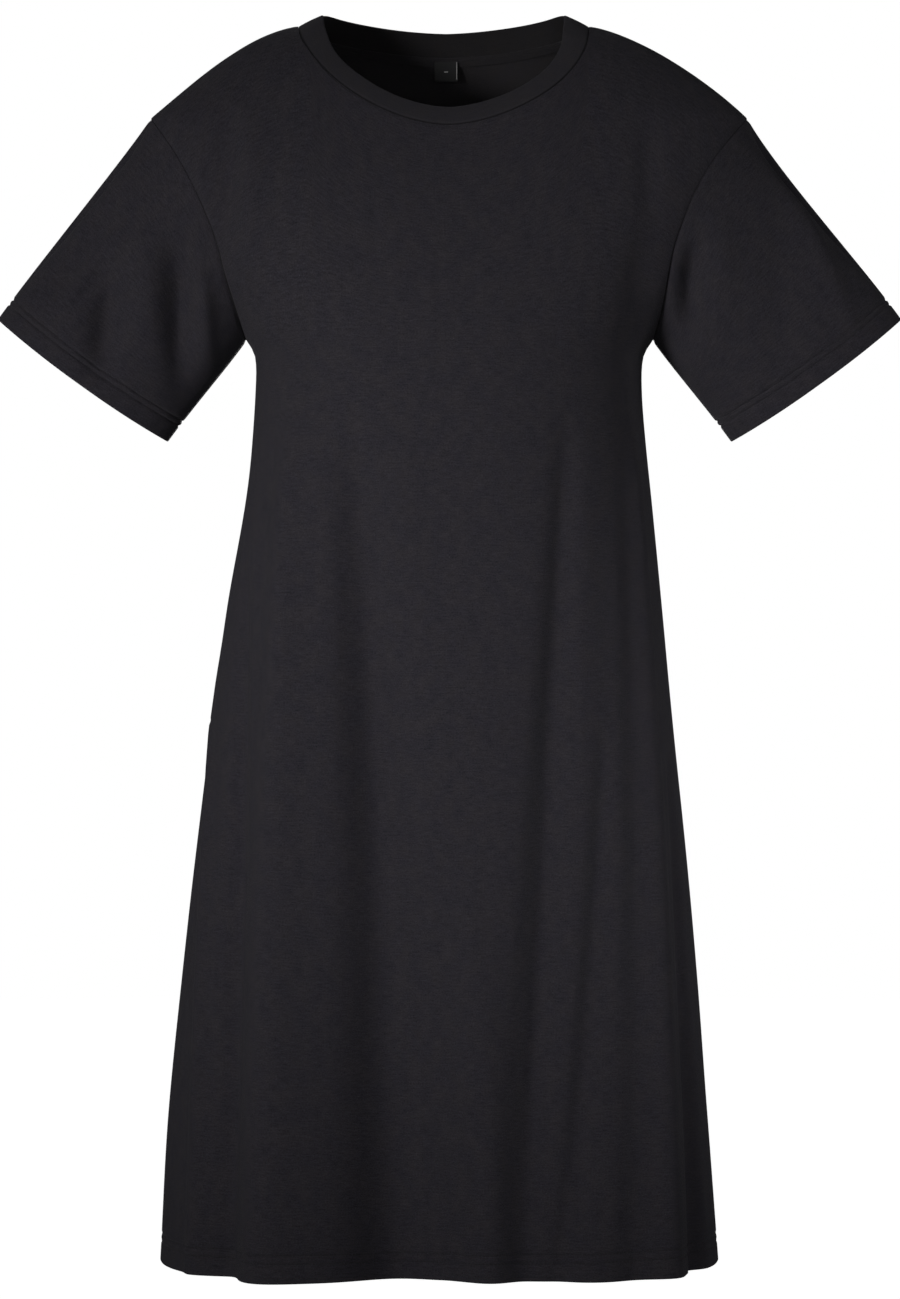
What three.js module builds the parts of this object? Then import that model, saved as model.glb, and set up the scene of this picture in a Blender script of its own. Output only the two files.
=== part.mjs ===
// A short-sleeved A-line T-shirt dress in cotton jersey, open and hollow, in the shape it has when it is worn.
// Millimetres. X runs across the body, the front faces -Y, and Z is up.
// The origin is midway between the two neck points, where the shoulder seams meet the neckband.

import * as THREE from "three";

// Cloth

const clothWall = 1.6;
const hemWall = 2.8; // a hem is turned up once, so it has two layers
const hemStep = 3; // the inside slope from two layers to one
const seamGap = 0.3;

// The cut: neck, shoulders, armholes and hem

const shoulder = { neckX: 99.5, tipX: 204.5, tipZ: -63.5, curve: 1.5 };
const neckline = {
  front: { drop: 75, curve: 1.75 },
  back: { drop: 16, curve: 1.5 },
};
const armhole = { underX: 139, underZ: -215, bow: 12.5, bowHigh: 1.4, front: 52, back: 58 };
const hem = { z: -841, depth: 20 };

// The outline from the front below the underarm: half is from the middle to a side seam.
const bodyWidths = [
  { z: -841, half: 190.4 },
  { z: -742, half: 184 },
  { z: -604, half: 171.6 },
  { z: -466, half: 156.4 },
  { z: -397, half: 148.6 },
  { z: -328, half: 139.2 },
  { z: -290, half: 135 },
  { z: -245, half: 132 },
  { z: -225, half: 133.2 },
  { z: -215, half: 139 },
];

// The outline from the side and from above: front and back are depths from the shoulder line, square is the
// power of the oval section (2 is an ellipse), and sway is how far the middle hangs to one side.
const bodySections = [
  { z: -841, front: 139, back: 138, square: 2.5, sway: -7 },
  { z: -742, front: 133, back: 132, square: 2.45, sway: -8 },
  { z: -650, front: 127, back: 125, square: 2.4, sway: -6.8 },
  { z: -560, front: 122, back: 117, square: 2.35, sway: -5.8 },
  { z: -480, front: 118, back: 109, square: 2.3, sway: -5 },
  { z: -400, front: 116, back: 101, square: 2.3, sway: -3.5 },
  { z: -320, front: 116, back: 98, square: 2.25, sway: -0.5 },
  { z: -250, front: 113, back: 101, square: 2.2, sway: -0.6 },
  { z: -200, front: 108, back: 103, square: 2.2, sway: 0 },
  { z: -150, front: 97, back: 100, square: 2.2, sway: -2.5 },
  { z: -110, front: 85, back: 93, square: 2.2, sway: -3 },
  { z: -75, front: 71, back: 83, square: 2.2, sway: -1 },
  { z: -50, front: 60, back: 74, square: 2.2, sway: 0 },
  { z: -21, front: 43, back: 60, square: 2.2, sway: -2 },
  { z: -8, front: 29, back: 46, square: 2.2, sway: -3.6 },
  { z: 0, front: 14, back: 14, square: 2.2, sway: -4 },
];

// The sleeves: the cuff's middle, its half length along the outline and its half depth, and how far its edges dip.
const cuff = { x: 250.5, y: -3, z: -242, half: 71.6, depth: 41, dip: 3.5 };
const cuffLean = THREE.MathUtils.degToRad(35.7); // the cuff's line above the horizontal
const sleeveHem = 18;
const sleeveEase = { seam: 0.8, cuff: 0.9 }; // how stiffly a sleeve leaves its seam and reaches its cuff

// The neckband: its width, its doubled thickness, and how steeply it stands at the front, the sides and the back.
const band = { width: 18.5, wall: 2.4, front: 47, side: 26, back: 84, ease: { front: 4, back: 8 } };

// The folded label inside the back neck
const label = { x: -2.5, width: 16, length: 14, leaf: 0.5, fold: 0.5 };

// Folds that hang from the body down to the hem. xTop, xMid and xHem are the places across. At the hem, width is
// half the fold's breadth and depth its height, below zero for a trough. Both grow from the fold's top.
const hangingFolds = [
  { side: "front", top: -400, xTop: -160, xMid: -166, xHem: -170, width: 11, depth: 5 },
  { side: "front", top: -330, xTop: -136, xMid: -142, xHem: -148, width: 15, depth: -11 },
  { side: "front", top: -240, xTop: -106, xMid: -113, xHem: -119, width: 24, depth: 18 },
  { side: "front", top: -250, xTop: -68, xMid: -48, xHem: -35, width: 28, depth: -34 },
  { side: "front", top: -560, xTop: -12, xMid: -8, xHem: -4, width: 18, depth: -4 },
  { side: "front", top: -560, xTop: 10, xMid: 18, xHem: 27, width: 14, depth: 8 },
  { side: "front", top: -250, xTop: 80, xMid: 66, xHem: 50, width: 16, depth: -17 },
  { side: "front", top: -460, xTop: 104, xMid: 94, xHem: 74, width: 11, depth: -9 },
  { side: "front", top: -300, xTop: 108, xMid: 112, xHem: 104, width: 16, depth: 4 },
  { side: "front", top: -250, xTop: 122, xMid: 134, xHem: 142, width: 19, depth: 14 },
  { side: "front", top: -470, xTop: 146, xMid: 157, xHem: 166, width: 11, depth: -8 },
  { side: "back", top: -300, xTop: -118, xMid: -130, xHem: -138, width: 22, depth: 13 },
  { side: "back", top: -320, xTop: -74, xMid: -78, xHem: -84, width: 24, depth: -14 },
  { side: "back", top: -400, xTop: -30, xMid: -28, xHem: -32, width: 22, depth: 10 },
  { side: "back", top: -290, xTop: 14, xMid: 22, xHem: 18, width: 26, depth: -14 },
  { side: "back", top: -420, xTop: 60, xMid: 66, xHem: 70, width: 20, depth: 11 },
  { side: "back", top: -340, xTop: 92, xMid: 106, xHem: 112, width: 18, depth: -12 },
  { side: "back", top: -300, xTop: 124, xMid: 138, xHem: 146, width: 18, depth: 11 },
];

// Short creases, from one end to the other as seen from the front.
const creases = [
  { side: "front", x0: -148, z0: -56, x1: -153, z1: -170, width: 10, depth: -6 },
  { side: "front", x0: -134, z0: -60, x1: -136, z1: -190, width: 12, depth: 3 },
  { side: "front", x0: 134, z0: -66, x1: 134, z1: -140, width: 9, depth: -4 },
  { side: "front", x0: 142, z0: -120, x1: 122, z1: -240, width: 14, depth: -7 },
  { side: "front", x0: -204, z0: -66, x1: -262, z1: -165, width: 9, depth: 5 },
  { side: "front", x0: -222, z0: -112, x1: -272, z1: -190, width: 8, depth: -7 },
  { side: "front", x0: -228, z0: -150, x1: -256, z1: -200, width: 6, depth: -3 },
  { side: "front", x0: -229, z0: -155, x1: -236, z1: -250, width: 11, depth: -10 },
  { side: "front", x0: -204, z0: -140, x1: -204, z1: -230, width: 12, depth: 4 },
  { side: "front", x0: -184, z0: -140, x1: -180, z1: -262, width: 10, depth: -10 },
  { side: "front", x0: -168, z0: -160, x1: -164, z1: -245, width: 7, depth: 5 },
  { side: "front", x0: 214, z0: -72, x1: 278, z1: -222, width: 9, depth: 6 },
  { side: "front", x0: 164, z0: -140, x1: 160, z1: -230, width: 10, depth: -10 },
  { side: "front", x0: 180, z0: -120, x1: 186, z1: -230, width: 12, depth: 4 },
  { side: "front", x0: 222, z0: -120, x1: 226, z1: -260, width: 14, depth: -4 },
  { side: "back", x0: -150, z0: -70, x1: -150, z1: -190, width: 13, depth: -6 },
  { side: "back", x0: 148, z0: -60, x1: 152, z1: -180, width: 13, depth: -6 },
  { side: "back", x0: -205, z0: -110, x1: -250, z1: -200, width: 12, depth: -7 },
  { side: "back", x0: -182, z0: -150, x1: -190, z1: -262, width: 12, depth: -8 },
  { side: "back", x0: 200, z0: -120, x1: 252, z1: -214, width: 13, depth: -7 },
  { side: "back", x0: 176, z0: -150, x1: 186, z1: -260, width: 12, depth: -9 },
];

// How finely the walls are divided
const columns = 56;
const skirtRows = 15;
const yokeRows = 12;
const sleeveRings = 9;

const foldNarrow = 0.5; // a fold's breadth at its top, as a share of that at the hem
const foldGrowth = 0.6; // below 1, a fold deepens quickly under its top
const neckShare = 0.5; // the share of a panel's columns that ends at the neckline
const outward = { front: -1, back: 1 };
const smooth = (low, high, value) => THREE.MathUtils.smoothstep(value, low, high);

// The value of a table's column at height z, on a smooth curve through the table's rows.
function valueAt(table, column, z) {
  const last = table.length - 1;
  const found = table.findIndex((row) => row.z > z);
  const i = found < 0 ? last - 1 : Math.max(found - 1, 0);
  const slope = (k) => {
    const below = table[Math.max(k - 1, 0)];
    const above = table[Math.min(k + 1, last)];
    return (above[column] - below[column]) / (above.z - below.z);
  };
  const span = table[i + 1].z - table[i].z;
  const t = THREE.MathUtils.clamp((z - table[i].z) / span, 0, 1);
  const rise = t * t * (3 - 2 * t);
  return (
    table[i][column] * (1 - rise) +
    table[i + 1][column] * rise +
    slope(i) * span * t * (1 - t) ** 2 -
    slope(i + 1) * span * t * t * (1 - t)
  );
}

// How far up the armhole a height is: 0 at the underarm and 1 at the shoulder tip.
const armholeShare = (z) => (z - armhole.underZ) / (shoulder.tipZ - armhole.underZ);

function armholeX(z) {
  const share = armholeShare(z);
  const bow = armhole.bow * Math.sin(Math.PI * share ** armhole.bowHigh);
  return THREE.MathUtils.lerp(armhole.underX, shoulder.tipX, share) - bow;
}

function armholeDepth(side, z) {
  const share = armholeShare(z);
  return armhole[side] * 2 * Math.sqrt(Math.max(share * (1 - share), 0));
}

// The oval section at a height. Above the underarm it is the wider oval that passes through the armhole seam.
function section(side, z) {
  const square = valueAt(bodySections, "square", z);
  const depth = valueAt(bodySections, side, z);
  let half = 0;
  if (z <= armhole.underZ) half = valueAt(bodyWidths, "half", z);
  else if (z >= shoulder.tipZ) {
    const share = (Math.min(z, 0) / shoulder.tipZ) ** (1 / shoulder.curve);
    half = THREE.MathUtils.lerp(shoulder.neckX, shoulder.tipX, share);
  } else half = armholeX(z) / (1 - (armholeDepth(side, z) / depth) ** square) ** (1 / square);
  return { half, depth, square, sway: valueAt(bodySections, "sway", z) };
}

// Zero on the section's oval: the body's surface as an equation, whose slope is the cloth's normal.
function ovalValue(side, x, y, z) {
  const s = section(side, z);
  return (Math.abs(x - s.sway) / s.half) ** s.square + (Math.abs(y) / s.depth) ** s.square;
}

// The angle round the body, in radians: 0 at the front centre and a half turn at the back centre.
function angleRound(side, x, s) {
  const share = Math.min(Math.abs(x - s.sway) / s.half, 1);
  const turn = Math.asin(share ** (s.square / 2));
  return Math.sign(x - s.sway) * (side === "front" ? turn : Math.PI - turn);
}

function hangingFoldHeight(side, x, z) {
  const s = section(side, z);
  const here = angleRound(side, x, s);
  const radius = (s.half + s.depth) / 2;
  let height = 0;
  for (const fold of hangingFolds) {
    const down = (fold.top - z) / (fold.top - hem.z);
    if (down <= 0) continue;
    const middle = 4 * down * (1 - down);
    const across =
      fold.xTop * (1 - down) + fold.xHem * down + (fold.xMid - (fold.xTop + fold.xHem) / 2) * middle;
    const there = angleRound(fold.side, across, section(fold.side, z));
    const apart = Math.atan2(Math.sin(here - there), Math.cos(here - there)) * radius;
    const width = fold.width * (foldNarrow + (1 - foldNarrow) * down);
    height += fold.depth * down ** foldGrowth * smooth(0, 0.12, down) * Math.exp(-((apart / width) ** 2));
  }
  return height;
}

function creaseHeight(side, x, z) {
  let height = 0;
  for (const crease of creases) {
    if (crease.side !== side) continue;
    const run = new THREE.Vector2(crease.x1 - crease.x0, crease.z1 - crease.z0);
    const from = new THREE.Vector2(x - crease.x0, z - crease.z0);
    const along = THREE.MathUtils.clamp(from.dot(run) / run.lengthSq(), 0, 1);
    const away = from.addScaledVector(run, -along).length();
    height += crease.depth * Math.sin(Math.PI * along) * Math.exp(-((away / crease.width) ** 2));
  }
  return height;
}

// The outside of the body's cloth at a place across and a height, and its normal there.
function bodySurface(side, across, z) {
  const s = section(side, z);
  const share = Math.min(Math.abs(across) / s.half, 1);
  const x = s.sway + across;
  const y = outward[side] * s.depth * (1 - share ** s.square) ** (1 / s.square);
  const step = 1;
  const slopeZ = (ovalValue(side, x, y, z + step) - ovalValue(side, x, y, z - step)) / (2 * step);
  const normal = new THREE.Vector3(
    (s.square * Math.sign(across) * share ** (s.square - 1)) / s.half,
    (s.square * outward[side] * (Math.abs(y) / s.depth) ** (s.square - 1)) / s.depth,
    slopeZ,
  ).normalize();
  const fold = hangingFoldHeight(side, x, z) + creaseHeight(side, x, z) * Math.abs(normal.y);
  const point = new THREE.Vector3(x, y, z).addScaledVector(normal, fold);
  point.y += (outward[side] * seamGap) / 2;
  return { point, normal };
}

// The edge of a panel above the underarm row: the shoulder seam, then the neckline, as a place across and a height.
function topEdge(side, u) {
  const away = Math.abs(u);
  if (away >= neckShare) {
    const share = (away - neckShare) / (1 - neckShare);
    const x = THREE.MathUtils.lerp(shoulder.neckX, shoulder.tipX, share);
    return new THREE.Vector2(Math.sign(u) * x, shoulder.tipZ * share ** shoulder.curve);
  }
  const { drop, curve } = neckline[side];
  const turn = ((away / neckShare) * Math.PI) / 2;
  const x = shoulder.neckX * Math.sin(turn) ** (2 / curve);
  return new THREE.Vector2(Math.sign(u) * x, -drop * Math.cos(turn) ** (2 / curve));
}

// The armhole edge, up from the underarm at w = 0 to the shoulder tip at w = 1.
function armholeEdge(hand, w) {
  const z = THREE.MathUtils.lerp(armhole.underZ, shoulder.tipZ, (1 - Math.cos(Math.PI * w)) / 2);
  return new THREE.Vector2(hand * armholeX(z), z);
}

// The place across at a share of the way round from the middle to a side seam.
function rowAcross(side, u, z) {
  const s = section(side, z);
  const steps = 60;
  const corners = [];
  for (let k = 0; k <= steps; k++) {
    const turn = ((k / steps) * Math.PI) / 2;
    const x = s.half * Math.sin(turn) ** (2 / s.square);
    corners.push(new THREE.Vector2(x, s.depth * Math.cos(turn) ** (2 / s.square)));
  }
  const lengths = [0];
  for (let k = 1; k <= steps; k++) lengths.push(lengths[k - 1] + corners[k].distanceTo(corners[k - 1]));
  const wanted = Math.abs(u) * lengths[steps];
  const k = Math.max(1, lengths.findIndex((length) => length >= wanted - 1e-9));
  const share = (wanted - lengths[k - 1]) / (lengths[k] - lengths[k - 1]);
  return Math.sign(u) * THREE.MathUtils.lerp(corners[k - 1].x, corners[k].x, share);
}

// A place on a panel above the underarm, blended from the four edges of that patch.
function yokePlace(side, u, w) {
  const right = (u + 1) / 2;
  const up = (1 - Math.cos(Math.PI * w)) / 2;
  const low = new THREE.Vector2(rowAcross(side, u, armhole.underZ), armhole.underZ);
  const edges = [armholeEdge(-1, w), armholeEdge(1, w)];
  const corners = (hand) => armholeEdge(hand, 0).lerp(armholeEdge(hand, 1), up);
  return low
    .lerp(topEdge(side, u), up)
    .addScaledVector(edges[0].sub(corners(-1)), 1 - right)
    .addScaledVector(edges[1].sub(corners(1)), right);
}

// The heights of the rows from the hem to the underarm.
function skirtHeights() {
  const start = hem.z + hem.depth + hemStep;
  const heights = [hem.z, hem.z + hem.depth / 2, hem.z + hem.depth, start];
  for (let i = 1; i <= skirtRows; i++) {
    heights.push(THREE.MathUtils.lerp(start, armhole.underZ, Math.sin((i / skirtRows) * (Math.PI / 2))));
  }
  return heights;
}

// Cloth thickness a given distance from a turned-up edge.
const wallFrom = (distance, depth) =>
  THREE.MathUtils.lerp(hemWall, clothWall, THREE.MathUtils.clamp((distance - depth) / hemStep, 0, 1));

// A closed wall between rows of outside points and rows of inside points. Rings join their ends.
function wallGeometry(outer, inner, rings = false) {
  const rows = outer.length;
  const width = outer[0].length;
  const spans = rings ? width : width - 1;
  const positions = [...outer.flat(), ...inner.flat()].flatMap((p) => p.toArray());
  const at = (layer, row, column) => layer * rows * width + row * width + (column % width);
  const faces = [];
  const quad = (a, b, c, d) => faces.push(a, b, c, a, c, d);
  for (let j = 0; j < rows - 1; j++) {
    for (let i = 0; i < spans; i++) {
      quad(at(0, j, i), at(0, j, i + 1), at(0, j + 1, i + 1), at(0, j + 1, i));
      quad(at(1, j, i), at(1, j + 1, i), at(1, j + 1, i + 1), at(1, j, i + 1));
    }
    if (!rings) {
      quad(at(0, j, 0), at(0, j + 1, 0), at(1, j + 1, 0), at(1, j, 0));
      quad(at(0, j, width - 1), at(1, j, width - 1), at(1, j + 1, width - 1), at(0, j + 1, width - 1));
    }
  }
  for (let i = 0; i < spans; i++) {
    quad(at(0, 0, i), at(1, 0, i), at(1, 0, i + 1), at(0, 0, i + 1));
    quad(at(0, rows - 1, i), at(0, rows - 1, i + 1), at(1, rows - 1, i + 1), at(1, rows - 1, i));
  }
  const corner = (k) => new THREE.Vector3().fromArray(positions, 3 * k);
  let volume = 0;
  for (let k = 0; k < faces.length; k += 3) {
    volume += corner(faces[k]).dot(corner(faces[k + 1]).cross(corner(faces[k + 2])));
  }
  if (volume < 0) faces.reverse();
  const geometry = new THREE.BufferGeometry();
  geometry.setAttribute("position", new THREE.Float32BufferAttribute(positions, 3));
  geometry.setIndex(faces);
  geometry.computeVertexNormals();
  return geometry;
}

// The armhole seam as a loop of places: down the front from the shoulder tip, then up the back. Each has the
// inside edge that panel and sleeve share (mitre), the way across the seam, and the way the sleeve leaves it.
function armholeLoop(hand) {
  const along = new THREE.Vector3(hand * Math.sin(cuffLean), 0, -Math.cos(cuffLean));
  const loop = [];
  for (let k = 0; k < 2 * yokeRows; k++) {
    const side = k <= yokeRows ? "front" : "back";
    const w = Math.abs(1 - k / yokeRows);
    const [across, z] = armholeEdge(hand, w).toArray();
    loop.push({ ...bodySurface(side, across, z), side, w, turn: (Math.PI * k) / yokeRows });
  }
  return loop.map((seam, k) => {
    const count = loop.length;
    const before = loop[(k + count - 1) % count].point;
    const tangent = loop[(k + 1) % count].point.clone().sub(before).normalize();
    const flat = along.clone().addScaledVector(seam.normal, -along.dot(seam.normal));
    const leave = flat.lerp(along, 1 - seam.w).normalize();
    const sleeveNormal = tangent.clone().cross(leave).multiplyScalar(hand).normalize();
    const middle = sleeveNormal.add(seam.normal).normalize();
    const mitre = middle.clone().multiplyScalar(-clothWall / Math.max(middle.dot(seam.normal), 0.6));
    const across = tangent.clone().cross(mitre).multiplyScalar(hand).normalize();
    return { ...seam, leave, mitre, across };
  });
}

function panelGeometry(side) {
  const outer = [];
  const inner = [];
  const armholes = [armholeLoop(-1), armholeLoop(1)];
  const addRow = (place, wall, seamRow) => {
    const surfaces = [];
    for (let i = 0; i <= columns; i++) {
      const [across, z] = place((2 * i) / columns - 1);
      surfaces.push(bodySurface(side, across, z));
    }
    outer.push(surfaces.map((s) => s.point));
    const inside = surfaces.map((s) => s.point.clone().addScaledVector(s.normal, -wall));
    if (seamRow !== undefined) {
      const k = side === "front" ? yokeRows - seamRow : (yokeRows + seamRow) % (2 * yokeRows);
      inside[0] = surfaces[0].point.clone().add(armholes[0][k].mitre);
      inside[columns] = surfaces[columns].point.clone().add(armholes[1][k].mitre);
    }
    inner.push(inside);
  };
  const heights = skirtHeights();
  heights.forEach((z, j) => {
    const seamRow = j === heights.length - 1 ? 0 : undefined;
    addRow((u) => [rowAcross(side, u, z), z], wallFrom(z - hem.z, hem.depth), seamRow);
  });
  for (let j = 1; j <= yokeRows; j++) {
    addRow((u) => yokePlace(side, u, j / yokeRows).toArray(), clothWall, j);
  }
  return wallGeometry(outer, inner);
}

function sleeveGeometry(hand) {
  const along = new THREE.Vector3(hand * Math.sin(cuffLean), 0, -Math.cos(cuffLean));
  const upLine = new THREE.Vector3(hand * Math.cos(cuffLean), 0, Math.sin(cuffLean));
  const centre = new THREE.Vector3(hand * cuff.x, cuff.y, cuff.z);
  const spines = armholeLoop(hand).map((seam) => {
    const end = centre
      .clone()
      .addScaledVector(upLine, cuff.half * Math.cos(seam.turn))
      .addScaledVector(along, cuff.dip * Math.sin(seam.turn) ** 2);
    end.y -= cuff.depth * Math.sin(seam.turn);
    const start = seam.point.clone().addScaledVector(seam.across, seamGap);
    return { ...seam, start, end, length: start.distanceTo(end) };
  });
  const smoothPoint = (spine, s) => {
    const rise = s * s * (3 - 2 * s);
    return spine.start
      .clone()
      .lerp(spine.end, rise)
      .addScaledVector(spine.leave, sleeveEase.seam * spine.length * s * (1 - s) ** 2)
      .addScaledVector(along, -sleeveEase.cuff * spine.length * s * s * (1 - s));
  };
  const shareAt = (spine, j) => {
    const plain = sleeveRings - 2;
    const hemTop = 1 - sleeveHem / spine.length;
    const stepTop = hemTop - hemStep / spine.length;
    return j <= plain ? (j / plain) * stepTop : [hemTop, 1][j - plain - 1];
  };
  const outer = [];
  const inner = [];
  for (let j = 0; j <= sleeveRings; j++) {
    const ring = spines.map((spine) => smoothPoint(spine, shareAt(spine, j)));
    const wall = j >= sleeveRings - 1 ? hemWall : clothWall;
    const surfaces = spines.map((spine, k) => {
      const count = spines.length;
      const nudge = 0.01;
      const share = shareAt(spine, j);
      const round = ring[(k + 1) % count].clone().sub(ring[(k + count - 1) % count]);
      const down = smoothPoint(spine, share + nudge).sub(smoothPoint(spine, share - nudge));
      const normal = round.cross(down).multiplyScalar(hand).normalize();
      const facing = smooth(0, 0.4, Math.abs(Math.sin(spine.turn)));
      const ease = smooth(0, 0.2, share) * Math.abs(normal.y) * facing;
      const point = ring[k].clone().addScaledVector(normal, creaseHeight(spine.side, ring[k].x, ring[k].z) * ease);
      const inside = j === 0 ? point.clone().add(spine.mitre) : point.clone().addScaledVector(normal, -wall);
      return { point, inside };
    });
    outer.push(surfaces.map((s) => s.point));
    inner.push(surfaces.map((s) => s.inside));
  }
  return wallGeometry(outer, inner, true);
}

// The neckline as a loop of places: across the front from left to right, then back across the back.
function neckLoop() {
  const steps = Math.round(columns * neckShare);
  const loop = [];
  for (const side of ["front", "back"]) {
    for (let k = 0; k < steps; k++) {
      const u = neckShare * ((2 * k) / steps - 1) * (side === "front" ? 1 : -1);
      const [across, z] = topEdge(side, u).toArray();
      loop.push({ ...bodySurface(side, across, z), side, u });
    }
  }
  return loop;
}

function neckbandGeometry() {
  const loop = neckLoop();
  const outer = [[], [], [], []];
  const inner = [[], [], [], []];
  loop.forEach((seam, k) => {
    const count = loop.length;
    const tangent = loop[(k + 1) % count].point.clone().sub(loop[(k + count - 1) % count].point).normalize();
    const inwards = new THREE.Vector3(-tangent.y, tangent.x, 0).normalize();
    const turn = (Math.abs(seam.u) / neckShare) * (Math.PI / 2);
    const toSide = Math.sin(turn) ** band.ease[seam.side];
    const lean = THREE.MathUtils.degToRad(THREE.MathUtils.lerp(band[seam.side], band.side, toSide));
    const rise = inwards.multiplyScalar(Math.cos(lean));
    rise.z = Math.sin(lean);
    const normal = tangent.clone().cross(rise).normalize();
    const across = seam.normal.clone().cross(tangent).normalize();
    const low = seam.point.clone().addScaledVector(across, seamGap);
    const at = (up, inwardsBy) =>
      low.clone().addScaledVector(rise, up).addScaledVector(normal, -inwardsBy * band.wall);
    outer[0].push(low);
    inner[0].push(low.clone().addScaledVector(seam.normal, -clothWall));
    outer[1].push(at(band.wall, 0));
    inner[1].push(at(band.wall, 1));
    outer[2].push(at(band.width - band.wall / 2, 0));
    inner[2].push(at(band.width - band.wall / 2, 1));
    outer[3].push(at(band.width, 0.35));
    inner[3].push(at(band.width, 0.65));
  });
  return wallGeometry(outer, inner, true);
}

// A loop of woven tape, folded at its lower end, that hangs inside the back neck seam.
function labelGeometry() {
  const z = -neckline.back.drop;
  const seam = bodySurface("back", label.x - valueAt(bodySections, "sway", z), z);
  const top = seam.point.addScaledVector(seam.normal, -clothWall);
  const thick = 2 * label.leaf + label.fold;
  const bend = -label.length + thick / 2;
  const profile = new THREE.Shape();
  profile.moveTo(0, 0);
  profile.lineTo(0, bend);
  profile.absarc(thick / 2, bend, thick / 2, Math.PI, 2 * Math.PI);
  profile.lineTo(thick, 0);
  profile.lineTo(thick - label.leaf, 0);
  profile.lineTo(thick - label.leaf, bend);
  profile.absarc(thick / 2, bend, label.fold / 2, 0, -Math.PI, true);
  profile.lineTo(label.leaf, 0);
  const options = { depth: label.width, bevelEnabled: false, curveSegments: 6 };
  const geometry = new THREE.ExtrudeGeometry(profile, options);
  geometry.rotateX(Math.PI / 2);
  geometry.rotateZ(Math.PI / 2);
  geometry.translate(label.x - label.width / 2, top.y - seamGap - thick, top.z);
  return geometry;
}

const cloth = (name, color, roughness) => new THREE.MeshStandardMaterial({ name, color, roughness, metalness: 0 });
const jersey = cloth("jersey", 0x26252a, 0.95);
const rib = cloth("rib", 0x232126, 0.95);
const tape = cloth("label tape", 0x111111, 0.6);

function named(name, geometry, material) {
  const mesh = new THREE.Mesh(geometry, material);
  mesh.name = name;
  return mesh;
}

const dress = new THREE.Group();
dress.name = "t_shirt_dress";
dress.add(named("front", panelGeometry("front"), jersey));
dress.add(named("back", panelGeometry("back"), jersey));
dress.add(named("sleeve_right", sleeveGeometry(-1), jersey));
dress.add(named("sleeve_left", sleeveGeometry(1), jersey));
dress.add(named("neckband", neckbandGeometry(), rib));
dress.add(named("label", labelGeometry(), tape));

export default dress;
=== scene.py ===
import math

import bmesh
import bpy
import mathutils
import numpy as np
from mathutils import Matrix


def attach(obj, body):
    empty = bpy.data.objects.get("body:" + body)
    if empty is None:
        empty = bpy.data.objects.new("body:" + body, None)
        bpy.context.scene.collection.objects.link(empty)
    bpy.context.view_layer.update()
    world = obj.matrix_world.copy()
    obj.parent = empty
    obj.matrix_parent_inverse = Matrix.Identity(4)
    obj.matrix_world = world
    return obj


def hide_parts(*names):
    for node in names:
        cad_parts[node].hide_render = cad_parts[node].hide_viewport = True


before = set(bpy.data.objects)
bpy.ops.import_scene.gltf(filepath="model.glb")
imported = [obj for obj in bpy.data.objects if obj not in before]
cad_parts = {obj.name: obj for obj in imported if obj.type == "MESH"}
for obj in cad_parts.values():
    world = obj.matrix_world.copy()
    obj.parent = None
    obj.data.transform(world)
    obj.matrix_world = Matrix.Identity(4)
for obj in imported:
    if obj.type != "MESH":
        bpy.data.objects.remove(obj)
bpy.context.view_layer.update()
mm = 0.001

# The cut, in millimetres, the same as the solids

shoulder = {"neckX": 99.5, "tipX": 204.5, "tipZ": -63.5, "curve": 1.5}
neckline = {"front": {"drop": 75, "curve": 1.75}, "back": {"drop": 16, "curve": 1.5}}
armhole = {"underX": 139, "underZ": -215, "bow": 12.5, "bowHigh": 1.4, "front": 52, "back": 58}
hem = {"z": -841, "depth": 20}
cuff = {"x": 250.5, "y": -3, "z": -242, "half": 71.6, "depth": 41, "dip": 3.5}
cuffLean = math.radians(35.7)
sleeveEase = {"seam": 0.8, "cuff": 0.9}
outward = {"front": -1, "back": 1}
neckShare = 0.5  # of the way from the middle to the armhole, where the neckline ends
seamGap = 0.3  # between neighbouring pieces

bodyWidths = {
    "z": [-841, -742, -604, -466, -397, -328, -290, -245, -225, -215],
    "half": [190.4, 184, 171.6, 156.4, 148.6, 139.2, 135, 132, 133.2, 139],
}
bodySections = {
    "z": [-841, -742, -650, -560, -480, -400, -320, -250, -200, -150, -110, -75, -50, -21, -8, 0],
    "front": [139, 133, 127, 122, 118, 116, 116, 113, 108, 97, 85, 71, 60, 43, 29, 14],
    "back": [138, 132, 125, 117, 109, 101, 98, 101, 103, 100, 93, 83, 74, 60, 46, 14],
    "square": [2.5, 2.45, 2.4, 2.35, 2.3, 2.3, 2.25, 2.2, 2.2, 2.2, 2.2, 2.2, 2.2, 2.2, 2.2, 2.2],
    "sway": [-7, -8, -6.8, -5.8, -5, -3.5, -0.5, -0.6, 0, -2.5, -3, -1, 0, -2, -3.6, -4],
}

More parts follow.
